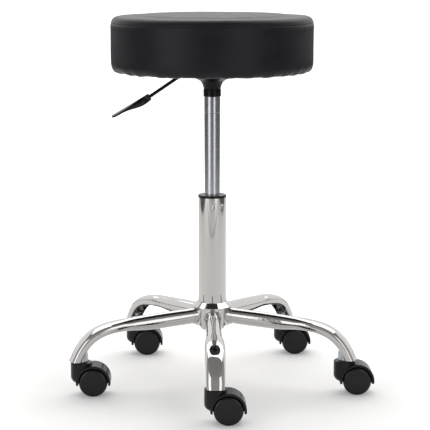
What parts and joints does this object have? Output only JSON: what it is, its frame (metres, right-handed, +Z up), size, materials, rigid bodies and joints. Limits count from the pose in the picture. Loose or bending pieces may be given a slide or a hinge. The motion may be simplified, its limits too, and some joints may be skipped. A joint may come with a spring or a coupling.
{
  "type": "adjustable swivel stool",
  "caption": "Backless swivel stool: round padded vinyl seat on a gas-lift column with an under-seat height lever, and a chromed star base on twin-wheel casters.",
  "frame": {"origin": "on the column's axis at floor level, between the legs", "axes": "+Z up through the column and the seat, leg 1 points along -Y, the release lever points along -X, casters trail along +X"},
  "size_m": [0.5371, 0.4854, 0.661],
  "materials": {
    "chrome_plate": "polished",
    "zinc_plate": "satin",
    "ground_steel": "satin",
    "black_plastic": "satin",
    "wheel_plastic": "gloss",
    "black_rubber": "matte",
    "black_enamel": "satin",
    "plywood": "matte",
    "foam": "matte",
    "black_vinyl": "satin",
    "dust_cloth": "matte"
  },
  "bodies": {
    "base": {"hub_core": "chrome_plate", "hub_cap": "chrome_plate", "leg_1": "chrome_plate", "leg_2": "chrome_plate", "leg_3": "chrome_plate", "leg_4": "chrome_plate", "leg_5": "chrome_plate", "stem_sockets": "zinc_plate", "caster_stems": "zinc_plate", "grip_rings": "zinc_plate", "column_tube": "chrome_plate", "guide_bush": "black_plastic", "lower_washer": "ground_steel"},
    "piston": {"piston_rod": "ground_steel", "retaining_clip": "ground_steel", "upper_washer": "ground_steel", "thrust_balls": "ground_steel", "bumper": "black_rubber", "piston": "ground_steel", "piston_seal": "black_rubber"},
    "seat": {"pressure_tube": "ground_steel", "end_gland": "black_plastic", "valve_body": "ground_steel", "taper_socket": "black_enamel", "seat_plate": "black_enamel", "lever_bracket": "black_enamel", "lever_pivot_pin": "ground_steel", "plate_bolts": "zinc_plate", "plate_washers": "zinc_plate", "tee_nuts": "zinc_plate", "seat_board": "plywood", "foam_cushion": "foam", "cover_top": "black_vinyl", "cover_band": "black_vinyl", "dust_cover": "dust_cloth", "staples": "zinc_plate"},
    "lever": {"lever_rod": "black_enamel", "lever_handle": "black_plastic"},
    "valve_pin": {"valve_pin": "ground_steel"},
    "caster_1": {"caster_1_hood": "black_plastic", "caster_1_axle": "ground_steel"},
    "caster_1_left": {"caster_1_wheel_left": "wheel_plastic"},
    "caster_1_right": {"caster_1_wheel_right": "wheel_plastic"},
    "caster_2": {"caster_2_hood": "black_plastic", "caster_2_axle": "ground_steel"},
    "caster_2_left": {"caster_2_wheel_left": "wheel_plastic"},
    "caster_2_right": {"caster_2_wheel_right": "wheel_plastic"},
    "caster_3": {"caster_3_hood": "black_plastic", "caster_3_axle": "ground_steel"},
    "caster_3_left": {"caster_3_wheel_left": "wheel_plastic"},
    "caster_3_right": {"caster_3_wheel_right": "wheel_plastic"},
    "caster_4": {"caster_4_hood": "black_plastic", "caster_4_axle": "ground_steel"},
    "caster_4_left": {"caster_4_wheel_left": "wheel_plastic"},
    "caster_4_right": {"caster_4_wheel_right": "wheel_plastic"},
    "caster_5": {"caster_5_hood": "black_plastic", "caster_5_axle": "ground_steel"},
    "caster_5_left": {"caster_5_wheel_left": "wheel_plastic"},
    "caster_5_right": {"caster_5_wheel_right": "wheel_plastic"}
  },
  "joints": [
    {"name": "seat_swivel", "type": "hinge", "parent": "base", "child": "piston", "pos_m": [0, 0, 0.11], "axis": [0, 0, 1], "continuous": true},
    {"name": "seat_height", "type": "slide", "parent": "piston", "child": "seat", "axis": [0, 0, 1], "range_m": [-0.14, 0]},
    {"name": "lever_pull", "type": "hinge", "parent": "seat", "child": "lever", "pos_m": [-0.03, 0, 0.5535], "axis": [0, 1, 0], "range_deg": [0, 5.7], "stiffness_Nm_per_rad": 1.5, "springref_deg": -8.59},
    {"name": "valve_press", "type": "slide", "parent": "seat", "child": "valve_pin", "axis": [0, 0, -1], "range_m": [0, 0.0032]},
    {"name": "caster_1_swivel", "type": "hinge", "parent": "base", "child": "caster_1", "pos_m": [0, -0.244, 0.045], "axis": [0, 0, 1], "continuous": true},
    {"name": "caster_1_left_spin", "type": "hinge", "parent": "caster_1", "child": "caster_1_left", "pos_m": [0.021, -0.244, 0.025], "axis": [0, 1, 0], "continuous": true},
    {"name": "caster_1_right_spin", "type": "hinge", "parent": "caster_1", "child": "caster_1_right", "pos_m": [0.021, -0.244, 0.025], "axis": [0, 1, 0], "continuous": true},
    {"name": "caster_2_swivel", "type": "hinge", "parent": "base", "child": "caster_2", "pos_m": [0.23206, -0.0754, 0.045], "axis": [0, 0, 1], "continuous": true},
    {"name": "caster_2_left_spin", "type": "hinge", "parent": "caster_2", "child": "caster_2_left", "pos_m": [0.25306, -0.0754, 0.025], "axis": [0, 1, 0], "continuous": true},
    {"name": "caster_2_right_spin", "type": "hinge", "parent": "caster_2", "child": "caster_2_right", "pos_m": [0.25306, -0.0754, 0.025], "axis": [0, 1, 0], "continuous": true},
    {"name": "caster_3_swivel", "type": "hinge", "parent": "base", "child": "caster_3", "pos_m": [0.14342, 0.1974, 0.045], "axis": [0, 0, 1], "continuous": true},
    {"name": "caster_3_left_spin", "type": "hinge", "parent": "caster_3", "child": "caster_3_left", "pos_m": [0.16442, 0.1974, 0.025], "axis": [0, 1, 0], "continuous": true},
    {"name": "caster_3_right_spin", "type": "hinge", "parent": "caster_3", "child": "caster_3_right", "pos_m": [0.16442, 0.1974, 0.025], "axis": [0, 1, 0], "continuous": true},
    {"name": "caster_4_swivel", "type": "hinge", "parent": "base", "child": "caster_4", "pos_m": [-0.14342, 0.1974, 0.045], "axis": [0, 0, 1], "continuous": true},
    {"name": "caster_4_left_spin", "type": "hinge", "parent": "caster_4", "child": "caster_4_left", "pos_m": [-0.12242, 0.1974, 0.025], "axis": [0, 1, 0], "continuous": true},
    {"name": "caster_4_right_spin", "type": "hinge", "parent": "caster_4", "child": "caster_4_right", "pos_m": [-0.12242, 0.1974, 0.025], "axis": [0, 1, 0], "continuous": true},
    {"name": "caster_5_swivel", "type": "hinge", "parent": "base", "child": "caster_5", "pos_m": [-0.23206, -0.0754, 0.045], "axis": [0, 0, 1], "continuous": true},
    {"name": "caster_5_left_spin", "type": "hinge", "parent": "caster_5", "child": "caster_5_left", "pos_m": [-0.21106, -0.0754, 0.025], "axis": [0, 1, 0], "continuous": true},
    {"name": "caster_5_right_spin", "type": "hinge", "parent": "caster_5", "child": "caster_5_right", "pos_m": [-0.21106, -0.0754, 0.025], "axis": [0, 1, 0], "continuous": true}
  ],
  "couplings": [
    {"joint": "valve_press", "follows": "lever_pull", "m_per_rad": 0.0305}
  ]
}
